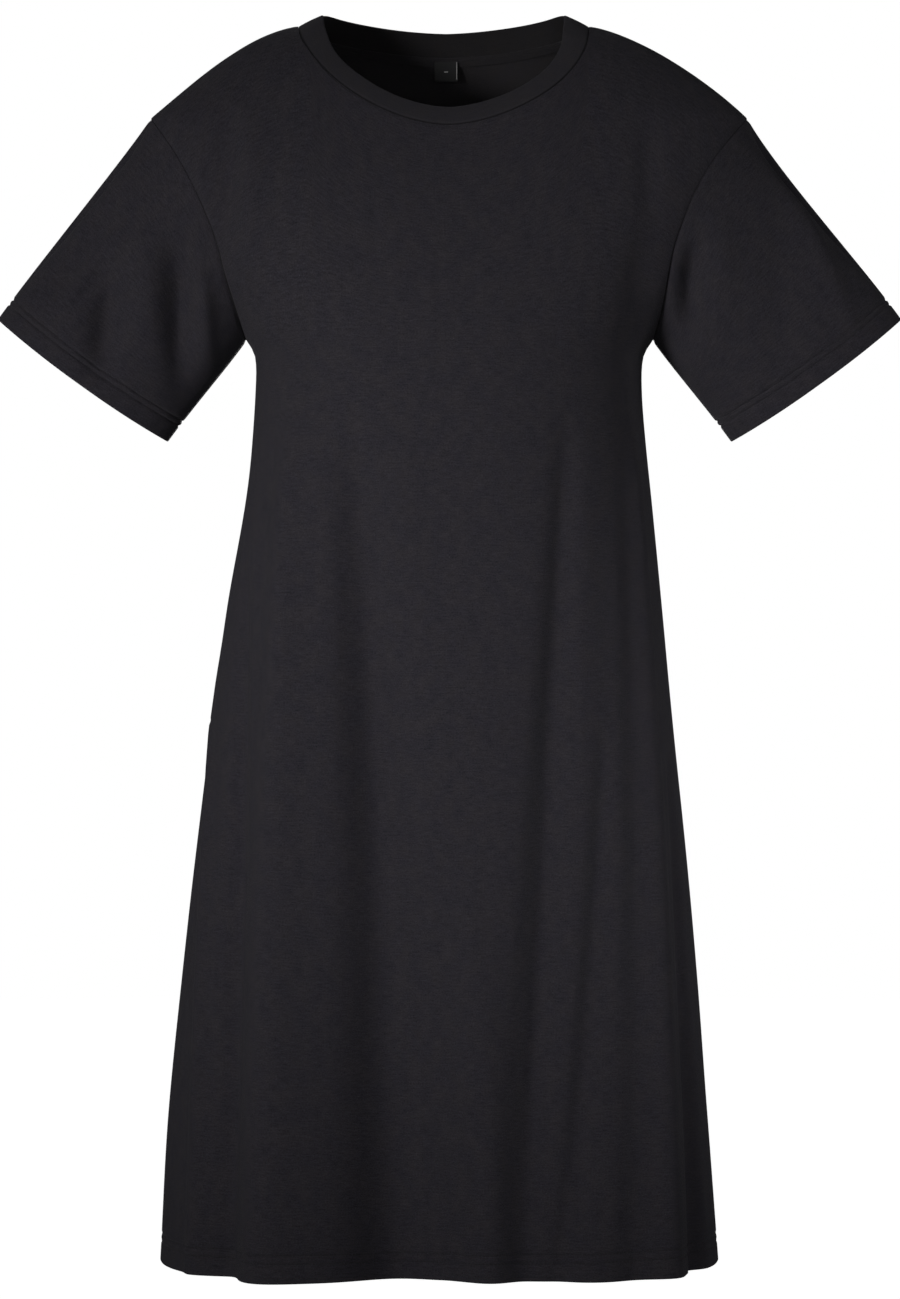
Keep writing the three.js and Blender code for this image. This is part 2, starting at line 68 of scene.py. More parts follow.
# Folds that hang down to the hem: side, top, x at the top, half way and the hem, half width, height there
hangingFolds = [
    ("front", -400, -160, -166, -170, 11, 5),
    ("front", -330, -136, -142, -148, 15, -11),
    ("front", -240, -106, -113, -119, 24, 18),
    ("front", -250, -68, -48, -35, 28, -34),
    ("front", -560, -12, -8, -4, 18, -4),
    ("front", -560, 10, 18, 27, 14, 8),
    ("front", -250, 80, 66, 50, 16, -17),
    ("front", -460, 104, 94, 74, 11, -9),
    ("front", -300, 108, 112, 104, 16, 4),
    ("front", -250, 122, 134, 142, 19, 14),
    ("front", -470, 146, 157, 166, 11, -8),
    ("back", -300, -118, -130, -138, 22, 13),
    ("back", -320, -74, -78, -84, 24, -14),
    ("back", -400, -30, -28, -32, 22, 10),
    ("back", -290, 14, 22, 18, 26, -14),
    ("back", -420, 60, 66, 70, 20, 11),
    ("back", -340, 92, 106, 112, 18, -12),
    ("back", -300, 124, 138, 146, 18, 11),
]
# Short creases: side, x and z of one end and of the other, half width, height
creases = [
    ("front", -148, -56, -153, -170, 10, -6),
    ("front", -134, -60, -136, -190, 12, 3),
    ("front", 134, -66, 134, -140, 9, -4),
    ("front", 142, -120, 122, -240, 14, -7),
    ("front", -204, -66, -262, -165, 9, 5),
    ("front", -222, -112, -272, -190, 8, -7),
    ("front", -228, -150, -256, -200, 6, -3),
    ("front", -229, -155, -236, -250, 11, -10),
    ("front", -204, -140, -204, -230, 12, 4),
    ("front", -184, -140, -180, -262, 10, -10),
    ("front", -168, -160, -164, -245, 7, 5),
    ("front", 214, -72, 278, -222, 9, 6),
    ("front", 164, -140, 160, -230, 10, -10),
    ("front", 180, -120, 186, -230, 12, 4),
    ("front", 222, -120, 226, -260, 14, -4),
    ("back", -150, -70, -150, -190, 13, -6),
    ("back", 148, -60, 152, -180, 13, -6),
    ("back", -205, -110, -250, -200, 12, -7),
    ("back", -182, -150, -190, -262, 12, -8),
    ("back", 200, -120, 252, -214, 13, -7),
    ("back", 176, -150, 186, -260, 12, -9),
]
foldNarrow = 0.5  # a fold's breadth at its top, as a share of that at the hem
foldGrowth = 0.6  # below 1, a fold deepens quickly under its top


def valueAt(table, column, z):
    # a smooth curve through a table's rows
    zs = np.array(table["z"], float)
    vs = np.array(table[column], float)
    last = len(zs) - 1
    slopes = np.array([(vs[min(k + 1, last)] - vs[max(k - 1, 0)]) / (zs[min(k + 1, last)] - zs[max(k - 1, 0)])
                       for k in range(last + 1)])
    i = np.clip(np.searchsorted(zs, z, side="right") - 1, 0, last - 1)
    span = zs[i + 1] - zs[i]
    t = np.clip((z - zs[i]) / span, 0, 1)
    rise = t * t * (3 - 2 * t)
    return (vs[i] * (1 - rise) + vs[i + 1] * rise
            + slopes[i] * span * t * (1 - t) ** 2 - slopes[i + 1] * span * t * t * (1 - t))


def smooth(low, high, value):
    t = np.clip((value - low) / (high - low), 0, 1)
    return t * t * (3 - 2 * t)


def armholeShare(z):
    return np.clip((z - armhole["underZ"]) / (shoulder["tipZ"] - armhole["underZ"]), 0, 1)


def armholeX(z):
    share = armholeShare(z)
    bow = armhole["bow"] * np.sin(np.pi * share ** armhole["bowHigh"])
    return armhole["underX"] + (shoulder["tipX"] - armhole["underX"]) * share - bow


def sectionAt(side, z):
    # the body's oval at a height: half width, depth, squareness and how far it hangs to one side
    z = np.asarray(z, float)
    square = valueAt(bodySections, "square", z)
    depth = valueAt(bodySections, side, z)
    low = valueAt(bodyWidths, "half", z)
    up = np.clip(np.minimum(z, 0) / shoulder["tipZ"], 0, 1) ** (1 / shoulder["curve"])
    high = shoulder["neckX"] + (shoulder["tipX"] - shoulder["neckX"]) * up
    share = armholeShare(z)
    reach = armhole[side] * 2 * np.sqrt(np.maximum(share * (1 - share), 0)) / depth
    middle = armholeX(z) / (1 - np.minimum(reach, 0.98) ** square) ** (1 / square)
    half = np.where(z <= armhole["underZ"], low, np.where(z >= shoulder["tipZ"], high, middle))
    return half, depth, square, valueAt(bodySections, "sway", z)


def ovalValue(side, x, y, z):
    half, depth, square, sway = sectionAt(side, z)
    return (np.abs(x - sway) / half) ** square + (np.abs(y) / depth) ** square


def angleRound(side, x, section):
    half, _, square, sway = section
    turn = np.arcsin(np.minimum(np.abs(x - sway) / half, 1) ** (square / 2))
    return np.sign(x - sway) * (turn if side == "front" else np.pi - turn)


def hangingFoldHeight(side, x, z):
    section = sectionAt(side, z)
    here = angleRound(side, x, section)
    radius = (section[0] + section[1]) / 2
    height = np.zeros_like(x)
    for foldSide, top, xTop, xMid, xHem, width, depth in hangingFolds:
        down = np.clip((top - z) / (top - hem["z"]), 0, 1)
        middle = 4 * down * (1 - down)
        across = xTop * (1 - down) + xHem * down + (xMid - (xTop + xHem) / 2) * middle
        there = angleRound(foldSide, across, sectionAt(foldSide, z))
        apart = np.arctan2(np.sin(here - there), np.cos(here - there)) * radius
        breadth = width * (foldNarrow + (1 - foldNarrow) * down)
        height += depth * down ** foldGrowth * smooth(0, 0.12, down) * np.exp(-((apart / breadth) ** 2))
    return height


def creaseHeight(side, x, z):
    height = np.zeros_like(x)
    for creaseSide, x0, z0, x1, z1, width, depth in creases:
        if creaseSide != side:
            continue
        rx, rz = x1 - x0, z1 - z0
        along = np.clip(((x - x0) * rx + (z - z0) * rz) / (rx * rx + rz * rz), 0, 1)
        away = np.hypot(x - x0 - rx * along, z - z0 - rz * along)
        height += depth * np.sin(np.pi * along) * np.exp(-((away / width) ** 2))
    return height


def unit(v):
    return v / np.maximum(np.linalg.norm(v, axis=-1, keepdims=True), 1e-9)


def bodySurface(side, across, z):
    # the outside of the body's cloth and its normal, in arrays of any shape
    across, z = np.broadcast_arrays(np.asarray(across, float), np.asarray(z, float))
    half, depth, square, sway = sectionAt(side, z)
    share = np.minimum(np.abs(across) / half, 1)
    x = sway + across
    y = outward[side] * depth * (1 - share ** square) ** (1 / square)
    slopeZ = (ovalValue(side, x, y, z + 1) - ovalValue(side, x, y, z - 1)) / 2
    normal = unit(np.stack([
        square * np.sign(across) * share ** (square - 1) / half,
        square * outward[side] * (np.abs(y) / depth) ** (square - 1) / depth,
        slopeZ,
    ], axis=-1))
    fold = hangingFoldHeight(side, x, z) + creaseHeight(side, x, z) * np.abs(normal[..., 1])
    fold = fold + restlessCloth(side, x, z) * np.abs(normal[..., 1])
    point = np.stack([x, y, z], axis=-1) + normal * fold[..., None]
    point[..., 1] += outward[side] * seamGap / 2
    return point, normal


def restlessCloth(side, x, z):
    # the faint unevenness of jersey that hangs: long, shallow and mostly upright
    phase = 0.0 if side == "front" else 2.1
    waves = [(0.041, 0.0072, 0.35), (0.067, -0.0105, 0.22), (0.029, 0.0149, 0.3), (0.113, 0.0181, 0.1)]
    height = np.zeros_like(x)
    for k, (acrossRate, downRate, size) in enumerate(waves):
        height += size * np.sin(acrossRate * x + phase + 1.7 * k + 2.2 * np.sin(downRate * z + 0.9 * k))
    return height


def topEdge(side, u):
    away = np.abs(u)
    share = np.clip((away - neckShare) / (1 - neckShare), 0, 1)
    shoulderX = shoulder["neckX"] + (shoulder["tipX"] - shoulder["neckX"]) * share
    shoulderZ = shoulder["tipZ"] * share ** shoulder["curve"]
    drop, curve = neckline[side]["drop"], neckline[side]["curve"]
    turn = np.clip(away / neckShare, 0, 1) * np.pi / 2
    neckX = shoulder["neckX"] * np.sin(turn) ** (2 / curve)
    neckZ = -drop * np.maximum(np.cos(turn), 0) ** (2 / curve)
    onShoulder = away >= neckShare
    return np.sign(u) * np.where(onShoulder, shoulderX, neckX), np.where(onShoulder, shoulderZ, neckZ)


def rowAcross(side, u, z):
    # the place across at an even share of the way from the middle to a side seam
    half, depth, square, _ = (float(v) for v in sectionAt(side, z))
    turn = np.linspace(0, np.pi / 2, 240)
    xs = half * np.sin(turn) ** (2 / square)
    ys = depth * np.maximum(np.cos(turn), 0) ** (2 / square)
    lengths = np.concatenate([[0], np.cumsum(np.hypot(np.diff(xs), np.diff(ys)))])
    return np.sign(u) * np.interp(np.abs(u) * lengths[-1], lengths, xs)


def yokePlaces(side, u, w):
    # a row above the underarm, blended from the four edges of that patch
    right = (u + 1) / 2
    up = (1 - np.cos(np.pi * w)) / 2
    underZ, tipX, tipZ = armhole["underZ"], shoulder["tipX"], shoulder["tipZ"]
    topX, topZ = topEdge(side, u)
    z = underZ + (tipZ - underZ) * up
    bulge = armholeX(z) - (armhole["underX"] + (tipX - armhole["underX"]) * up)
    x = rowAcross(side, u, underZ) * (1 - up) + topX * up + bulge * (right - (1 - right))
    return x, underZ * (1 - up) + topZ * up


def sleeveWay(hand):
    return np.array([hand * math.sin(cuffLean), 0, -math.cos(cuffLean)])


def armholeLoop(hand, count):
    along = sleeveWay(hand)
    turn = np.linspace(0, 2 * np.pi, count, endpoint=False)
    w = np.abs(1 - turn / np.pi)
    z = armhole["underZ"] + (shoulder["tipZ"] - armhole["underZ"]) * (1 - np.cos(np.pi * w)) / 2
    front = turn <= np.pi
    points = np.zeros((count, 3))
    normals = np.zeros((count, 3))
    for side, chosen in (("front", front), ("back", ~front)):
        points[chosen], normals[chosen] = bodySurface(side, hand * armholeX(z[chosen]), z[chosen])
    tangent = unit(np.roll(points, -1, 0) - np.roll(points, 1, 0))
    flat = along - normals * (normals @ along)[:, None]
    leave = unit(flat * w[:, None] + along * (1 - w[:, None]))
    sleeveNormal = unit(np.cross(tangent, leave) * hand)
    middle = unit(sleeveNormal + normals)
    across = unit(np.cross(tangent, -middle) * hand)
    return {"point": points, "normal": normals, "front": front, "turn": turn,
            "leave": leave, "mitre": -middle, "across": across}


print("cut and folds ready")


def joinMesh(name, points, faces, uvs=None, slots=None, sharpAt=50):
    mesh = bpy.data.meshes.new(name)
    mesh.from_pydata((np.asarray(points) * mm).tolist(), [], faces)
    if uvs is not None:
        layer = mesh.uv_layers.new(name="cloth")
        layer.data.foreach_set("uv", np.asarray(uvs, np.float32).ravel())
    if slots is not None:
        mesh.polygons.foreach_set("material_index", slots)
    tidy = bmesh.new()
    tidy.from_mesh(mesh)
    bmesh.ops.recalc_face_normals(tidy, faces=tidy.faces)
    tidy.to_mesh(mesh)
    tidy.free()
    mesh.shade_smooth()
    mesh.set_sharp_from_angle(angle=math.radians(sharpAt))
    piece = bpy.data.objects.new(name, mesh)
    bpy.context.scene.collection.objects.link(piece)
    return piece


def sweptShell(name, rows, u, v, ring, insideFrom=None, sharpAt=50):
    # rows go down the outside, round the edge and up the inside; the last row meets the first
    rows = np.asarray(rows)
    n, m = rows.shape[:2]
    j, i = np.meshgrid(np.arange(n), np.arange(m if ring else m - 1), indexing="ij")
    j2 = (j + 1) % n
    i2 = (i + 1) % m
    quads = np.stack([j * m + i, j * m + i2, j2 * m + i2, j2 * m + i], axis=-1).reshape(-1, 4)
    uWide = np.concatenate([u, u[:, :1] + (u[:, -1:] - u[:, :1]) * m / (m - 1)], axis=1)
    vWide = np.concatenate([v, v[:, :1]], axis=1)
    uvs = np.stack([np.stack([uWide[a, b], vWide[a, b]], axis=-1)
                    for a, b in ((j, i), (j, i + 1), (j2, i + 1), (j2, i))], axis=2).reshape(-1, 2)
    slots = np.zeros(len(quads), int) if insideFrom is None else (j.ravel() >= insideFrom).astype(int)
    faces = quads.tolist()
    if not ring:
        ends = []
        for column in (0, m - 1):
            for k in range(n // 2 - 1):
                ends.append([row * m + column for row in (k, k + 1, n - 2 - k, n - 1 - k)])
        faces += ends
        uvs = np.concatenate([uvs, np.tile(uvs[:1], (4 * len(ends), 1))])
        slots = np.concatenate([slots, np.zeros(len(ends), int)])
    return joinMesh(name, rows.reshape(-1, 3), faces, uvs, slots.tolist(), sharpAt)


def runLengths(rows, axis):
    steps = np.linalg.norm(np.diff(rows, axis=axis), axis=-1)
    zero = np.zeros_like(np.take(steps, [0], axis=axis))
    return np.concatenate([zero, np.cumsum(steps, axis=axis)], axis=axis)


def valley(distance, width, depth):
    return depth * np.exp(-((distance / width) ** 2))


def roundedEdge(outer, inner, outTo):
    # two rows that take a folded edge round from its outside to its inside
    return [outer + (inner - outer) * share + outTo * 0.3 for share in (0.18, 0.82)]


def foldedShell(name, outer, edge, inner, u, v, ring):
    # the outside, its folded edge and the inside, as one closed piece of cloth
    rows = np.concatenate([outer, edge, inner[::-1]])
    uAll = np.concatenate([u, u[-1:], u[-1:], u[::-1]])
    vAll = np.concatenate([v, v[-1:] - 1, v[-1:] - 2, v[::-1] - 3])
    return sweptShell(name, rows, uAll, vAll, ring, insideFrom=len(outer) + 1)


def mitreInside(loop, wall):
    # from an armhole's outside to its inside, along the mitre that the body and the sleeve share
    lean = np.maximum(-(loop["mitre"] * loop["normal"]).sum(1), 0.6)[:, None]
    return loop["mitre"] * wall / lean


panel = {
    "wall": 1.2,  # one layer of jersey, as modelled
    "hemWall": 2.3,  # two layers
    "columns": 150,
    "skirtRows": 110,
    "yokeRows": 78,
    "seamWidth": 1.7,  # how wide and deep the cloth is drawn in at a seam
    "seamDepth": 0.65,
    "needleLines": [12.0, 17.5],  # above the hem's edge
    "needleWidth": 0.8,
    "needleDepth": 0.95,
}


def panelColumns():
    edge = [1, 0.9968, 0.9925, 0.987, 0.98, 0.972]
    inside = np.linspace(-0.962, 0.962, panel["columns"])
    return np.concatenate([-np.array(edge), inside, np.array(edge)[::-1]])


def buildPanel(side):
    u = panelColumns()
    # rows above the hem's edge, closer at the needle lines and where the second layer ends
    lowSteps = [0, 0.7, 2, 4.5, 7.5, 10, 11.2, 12, 12.8, 14.7, 16.7, 17.5, 18.3, 19.6, 20.2, 22]
    low = hem["z"] + np.array(lowSteps)
    high = np.linspace(low[-1], armhole["underZ"], panel["skirtRows"] + 1)[1:]
    zs = np.concatenate([low, high])
    across = [rowAcross(side, u, z) for z in zs]
    heights = [np.full_like(u, z) for z in zs]
    for j in range(1, panel["yokeRows"] + 1):
        x, z = yokePlaces(side, u, j / panel["yokeRows"])
        across.append(x)
        heights.append(z)
    across, heights = np.array(across)[::-1], np.array(heights)[::-1]  # from the shoulder down
    point, normal = bodySurface(side, across, heights)
    along = runLengths(point, 1)
    down = runLengths(point, 0)
    middle = len(u) // 2
    toSide = np.minimum(along, along[:, -1:] - along)
    neckPoint = valley(np.abs(point[..., 0]) - shoulder["neckX"], 14, 0.85)
    drawn = (valley(toSide, panel["seamWidth"], panel["seamDepth"])
             + valley(down, panel["seamWidth"], panel["seamDepth"]) * (1 - neckPoint))
    above = heights - hem["z"]
    for line in panel["needleLines"]:
        drawn = drawn + valley(above - line, panel["needleWidth"], panel["needleDepth"])
    outer = point - normal * drawn[..., None]
    wall = np.where(above <= hem["depth"] - 0.1, panel["hemWall"], panel["wall"])[..., None]
    inner = outer - normal * wall
    yokeRows = np.arange(panel["yokeRows"] + 1)
    for hand, column in ((-1, 0), (1, len(u) - 1)):
        inward = mitreInside(armholeLoop(hand, 2 * panel["yokeRows"]), panel["wall"])
        places = yokeRows if side == "front" else -yokeRows % len(inward)
        inner[yokeRows, column] = outer[yokeRows, column] + inward[places]
    size = np.linalg.norm(inner[-1] - outer[-1], axis=-1, keepdims=True)
    edge = roundedEdge(outer[-1], inner[-1], np.array([0, 0, -1.0]) * size)
    uOut = along - along[:, middle:middle + 1]
    vOut = -down[:, middle:middle + 1] + 0 * down
    return foldedShell(side + "_panel", outer, edge, inner, uOut, vOut, False)


sleeve = {
    "wall": 1.2,
    "hemWall": 2.3,
    "around": 168,
    "rows": 64,
    "hem": 18.0,
    "needleLines": [12.5, 16.5],
    "needleWidth": 0.8,
    "needleDepth": 0.95,
    "seamWidth": 1.7,
    "underWidth": 1.8,  # of the seam that runs under the arm
    "seamDepth": 0.6,
    "evenRows": 22,  # above the cuff's edge, where the even rows end
}


def sleeveSpines(hand, count):
    loop = armholeLoop(hand, count)
    along = sleeveWay(hand)
    upLine = np.array([hand * math.cos(cuffLean), 0, math.sin(cuffLean)])
    centre = np.array([hand * cuff["x"], cuff["y"], cuff["z"]])
    turn = loop["turn"]
    end = (centre + upLine * cuff["half"] * np.cos(turn)[:, None]
           + along * cuff["dip"] * np.sin(turn)[:, None] ** 2)
    end[:, 1] -= cuff["depth"] * np.sin(turn)
    start = loop["point"] + loop["across"] * seamGap
    length = np.linalg.norm(end - start, axis=1)
    return loop, along, start, end, length


def sleevePoint(spines, s):
    loop, along, start, end, length = spines
    s = s[:, None]
    rise = s * s * (3 - 2 * s)
    return (start * (1 - rise) + end * rise
            + loop["leave"] * sleeveEase["seam"] * length[:, None] * s * (1 - s) ** 2
            - along * sleeveEase["cuff"] * length[:, None] * s * s * (1 - s))


def sleeveRow(hand, spines, s):
    # a ring of the sleeve's outside at shares s of the way to the cuff, with its normals
    loop = spines[0]
    ring = sleevePoint(spines, s)
    around = np.roll(ring, -1, 0) - np.roll(ring, 1, 0)
    down = sleevePoint(spines, s + 0.01) - sleevePoint(spines, s - 0.01)
    normal = unit(np.cross(around, down) * hand)
    facing = smooth(0, 0.4, np.abs(np.sin(loop["turn"])))
    ease = smooth(0, 0.2, s) * np.abs(normal[:, 1]) * facing
    height = np.where(loop["front"], creaseHeight("front", ring[:, 0], ring[:, 2]),
                      creaseHeight("back", ring[:, 0], ring[:, 2]))
    return ring + normal * (height * ease)[:, None], normal


def buildSleeve(hand, name):
    spines = sleeveSpines(hand, sleeve["around"])
    loop, length = spines[0], spines[4]
    body = 1 - sleeve["evenRows"] / length
    steps = np.concatenate([[0, 0.006, 0.014, 0.025], np.linspace(0.04, 1, sleeve["rows"])])
    shares = [body * t for t in steps]
    for above in (20, 18.3, 17.7, 17.2, 16.5, 15.8, 14.4, 13.2, 12.5, 11.8, 9, 6, 3.5, 1.5, 0.6, 0):
        shares.append(1 - above / length)
    outer, normals = zip(*[sleeveRow(hand, spines, s) for s in shares])
    outer, normals = np.array(outer), np.array(normals)
    around = runLengths(outer, 1)
    down = runLengths(outer, 0)
    toEdge = down[-1:] - down
    under = np.abs(around - around[:, sleeve["around"] // 2][:, None])
    drawn = (valley(down, sleeve["seamWidth"], sleeve["seamDepth"])
             + valley(under, sleeve["underWidth"], sleeve["seamDepth"]))
    for line in sleeve["needleLines"]:
        drawn = drawn + valley(toEdge - line, sleeve["needleWidth"], sleeve["needleDepth"])
    outer = outer - normals * drawn[..., None]
    wall = np.where(toEdge <= sleeve["hem"] - 0.1, sleeve["hemWall"], sleeve["wall"])[..., None]
    inner = outer - normals * wall
    inner[0] = outer[0] + mitreInside(loop, sleeve["wall"])
    edge = roundedEdge(outer[-1], inner[-1], sleeveWay(hand) * sleeve["hemWall"])
    vOut = -down.mean(axis=1, keepdims=True) + 0 * down
    return foldedShell(name, outer, edge, inner, around, vOut, True)


neckband = {
    "width": 18.5,
    "wall": 2.1,
    "front": 47,  # how steeply it stands, in degrees
    "side": 26,
    "back": 84,
    "around": 320,
    "puff": 0.35,
}


def neckLoop(count):
    half = count // 2
    points, normals, us, fronts = [], [], [], []
    for side, way in (("front", 1), ("back", -1)):
        u = neckShare * (2 * np.arange(half) / half - 1) * way
        x, z = topEdge(side, u)
        p, n = bodySurface(side, x, z)
        points.append(p)
        normals.append(n)
        us.append(u)
        fronts.append(np.full(half, side == "front"))
    return np.concatenate(points), np.concatenate(normals), np.concatenate(us), np.concatenate(fronts)


def buildNeckband():
    points, normals, u, front = neckLoop(neckband["around"])
    tangent = unit(np.roll(points, -1, 0) - np.roll(points, 1, 0))
    inwards = unit(np.stack([-tangent[:, 1], tangent[:, 0], 0 * u], axis=-1))
    toSide = np.sin(np.abs(u) / neckShare * np.pi / 2) ** np.where(front, 4, 8)
    middleLean = np.where(front, neckband["front"], neckband["back"])
    lean = np.radians(middleLean * (1 - toSide) + neckband["side"] * toSide)
    rise = inwards * np.cos(lean)[:, None]
    rise[:, 2] = np.sin(lean)
    normal = unit(np.cross(tangent, rise))
    across = unit(np.cross(normals, tangent))
    low = points + across * seamGap

    def at(up, inwardsBy):
        return low + rise * up - normal * inwardsBy

    wall, width = neckband["wall"], neckband["width"]
    straight = width - wall / 2
    rows = []
    v = []
    for up in np.concatenate([[0, 0.5, 1.1, 2], np.linspace(3, straight, 9)]):
        drawn = valley(up, 1.3, 0.8) * (1 - 0.85 * toSide) - neckband["puff"] * math.sin(math.pi * up / width)
        rows.append(at(up, drawn[:, None]))
        v.append(up)
    for turn in np.linspace(0, np.pi, 7)[1:-1]:
        rows.append(at(straight + math.sin(turn) * wall / 2, wall / 2 - math.cos(turn) * wall / 2))
        v.append(straight + turn * wall / 2)
    for up in np.linspace(straight, 0.3, 10):
        rows.append(at(up, wall))
        v.append(width * 2 - up)
    rows = np.array(rows)
    along = np.concatenate([[0], np.cumsum(np.linalg.norm(np.diff(points, axis=0), axis=1))])
    uAll = np.tile(along, (len(rows), 1))
    vAll = np.tile(np.array(v)[:, None], (1, len(along)))
    # the inner rows get the second material, the darker rib copy with painted shade
    piece = sweptShell("neckband_rib", rows, uAll, vAll, True, insideFrom=len(rows) - 12)
    return piece, {"low": low, "rise": rise, "normal": normal}


def stitchRun(points, normals, spec, alternate=0.0):
    # short threads laid end to end along a line on the cloth
    points, normals = np.asarray(points), np.asarray(normals)
    lengths = runLengths(points, 0)
    count = int(lengths[-1] / spec["pitch"])
    at = (np.arange(count) + 0.5) * spec["pitch"]
    centre = np.stack([np.interp(at, lengths, points[:, k]) for k in range(3)], axis=-1)
    n = unit(np.stack([np.interp(at, lengths, normals[:, k]) for k in range(3)], axis=-1))
    ahead = np.stack([np.interp(at + 0.5, lengths, points[:, k]) - np.interp(at - 0.5, lengths, points[:, k])
                      for k in range(3)], axis=-1)
    t = unit(ahead)
    b = unit(np.cross(n, t))
    swing = np.where(np.arange(count) % 2 == 0, 1.0, -1.0)[:, None] * alternate
    t = unit(t + b * swing)
    b = unit(np.cross(n, t))
    r, half = spec["radius"], spec["length"] / 2
    centre = centre + n * spec["lift"]
    corners = [centre - t * half - n * r]
    for shift in (-0.55, 0.55):
        for side, up in ((1, 0), (0, 1), (-1, 0), (0, -1)):
            corners.append(centre + t * half * shift + b * r * side + n * r * up * 0.8)
    corners.append(centre + t * half - n * r)
    corners = np.stack(corners, axis=1)
    shape = [[0, 2, 1], [0, 3, 2], [0, 4, 3], [0, 1, 4],
             [1, 2, 6, 5], [2, 3, 7, 6], [3, 4, 8, 7], [4, 1, 5, 8],
             [5, 6, 9], [6, 7, 9], [7, 8, 9], [8, 5, 9]]
    faces = [[k * 10 + c for c in face] for k in range(count) for face in shape]
    return corners.reshape(-1, 3), faces


def stitchPiece(name, runs):
    points, faces, base = [], [], 0
    for runPoints, runFaces in runs:
        points.append(runPoints)
        faces += [[c + base for c in face] for face in runFaces]
        base += len(runPoints)
    return joinMesh(name, np.concatenate(points), faces, sharpAt=80)


print("building the panels")
frontPiece = buildPanel("front")
backPiece = buildPanel("back")
print("building the sleeves")
rightPiece = buildSleeve(-1, "sleeve_right_cloth")
leftPiece = buildSleeve(1, "sleeve_left_cloth")
print("building the neckband")
bandPiece, bandGrid = buildNeckband()

twinNeedle = {"pitch": 2.9, "length": 2.5, "radius": 0.24, "lift": 0.12}


def bodyLine(side, above):
    u = np.linspace(-0.997, 0.997, 260)
    z = hem["z"] + above
    return bodySurface(side, rowAcross(side, u, z), np.full_like(u, z))


def hemStitches():
    runs = []
    for side in ("front", "back"):
        for line in panel["needleLines"]:
            points, normals = bodyLine(side, line)
            runs.append(stitchRun(points - normals * panel["needleDepth"], normals, twinNeedle))
        points, normals = bodyLine(side, sum(panel["needleLines"]) / 2)
        looper = dict(twinNeedle, length=6.4, lift=0.1)
        runs.append(stitchRun(points - normals * (panel["hemWall"] + 0.1), -normals, looper, alternate=1.6))
    return stitchPiece("hem_stitching", runs)


def sleeveStitches(hand, name):
    spines = sleeveSpines(hand, 200)
    runs = []
    for line in sleeve["needleLines"]:
        points, normals = sleeveRow(hand, spines, 1 - line / spines[4])
        points, normals = np.vstack([points, points[:1]]), np.vstack([normals, normals[:1]])
        runs.append(stitchRun(points - normals * sleeve["needleDepth"], normals, twinNeedle))
    points, normals = sleeveRow(hand, spines, 1 - sum(sleeve["needleLines"]) / 2 / spines[4])
    looper = dict(twinNeedle, length=5.0, lift=0.1)
    runs.append(stitchRun(points - normals * (sleeve["hemWall"] + 0.1), -normals, looper, alternate=1.4))
    return stitchPiece(name, runs)


print("sewing the hems")
hemThread = hemStitches()
rightThread = sleeveStitches(-1, "sleeve_right_stitching")
leftThread = sleeveStitches(1, "sleeve_left_stitching")

turning = {"width": 6.0, "thick": 1.1, "clear": 0.15}
overlock = {"pitch": 2.4, "length": 2.6, "radius": 0.22, "lift": 0.25}


def turningStrip(name, edge, away, out):
    # a seam's overlocked turning on the inside of the cloth: edge is its sewn side and away its raw side
    steps = np.linspace(0, 1, 5)
    rows = [edge + (away - edge) * s + out * turning["clear"] for s in steps]
    top = [row + out * turning["thick"] * (0.9 + 0.1 * math.sin(math.pi * s)) for row, s in zip(rows, steps)]
    allRows = np.array(rows + top[::-1])
    u = np.tile(runLengths(edge, 0), (len(allRows), 1))
    v = np.tile(np.linspace(0, turning["width"] * 2, len(allRows))[:, None], (1, len(edge)))
    return sweptShell(name, allRows, u, v, False), top


def overlockedStrip(name, edge, away, out):
    strip, top = turningStrip(name, edge, away, out)
    return strip, stitchRun((top[-1] + top[-2]) / 2, out, overlock, alternate=1.2)


def insideAt(side, across, z):
    point, normal = bodySurface(side, across, z)
    step = [hem["depth"] - 2, hem["depth"] + 1]
    wall = np.interp(z - hem["z"], step, [panel["hemWall"], panel["wall"]])
    return point - normal * wall[..., None], -normal


def sideTurning(hand, name):
    zs = np.linspace(armhole["underZ"] - 3, hem["z"] + 0.8, 170)
    half = sectionAt("back", zs)[0]
    out = insideAt("back", hand * half * 0.99995, zs)[1]
    rowLength = []
    for z in zs:
        u = np.array([1.0, 0.96])
        x = rowAcross("back", hand * u, z)
        p = bodySurface("back", x, np.full(2, z))[0]
        rowLength.append(np.linalg.norm(p[0] - p[1]) / 0.04)
    share = turning["width"] / np.array(rowLength)
    over = (insideAt("front", np.array([rowAcross("front", np.array([hand * (1 - s * 0.15)]), z)[0]
                                        for s, z in zip(share, zs)]), zs)[0])
    x = np.array([rowAcross("back", np.array([hand * (1 - s)]), z)[0] for s, z in zip(share, zs)])
    away, awayOut = insideAt("back", x, zs)
    return overlockedStrip(name, over, away, unit(out + awayOut))


def armholeTurning(hand, name):
    # laid on the inside of the sleeve, and lapped a little over the body's side of the seam
    spines = sleeveSpines(hand, 160)
    loop = spines[0]
    inside = loop["point"] + mitreInside(loop, sleeve["wall"])
    outer, normal = sleeveRow(hand, spines, turning["width"] / spines[4])
    edge = inside - loop["across"] * 1.0
    away = outer - normal * sleeve["wall"]
    edge, away, out = (np.vstack([part, part[:1]]) for part in (edge, away, unit(loop["mitre"] - normal)))
    return overlockedStrip(name, edge, away, out)


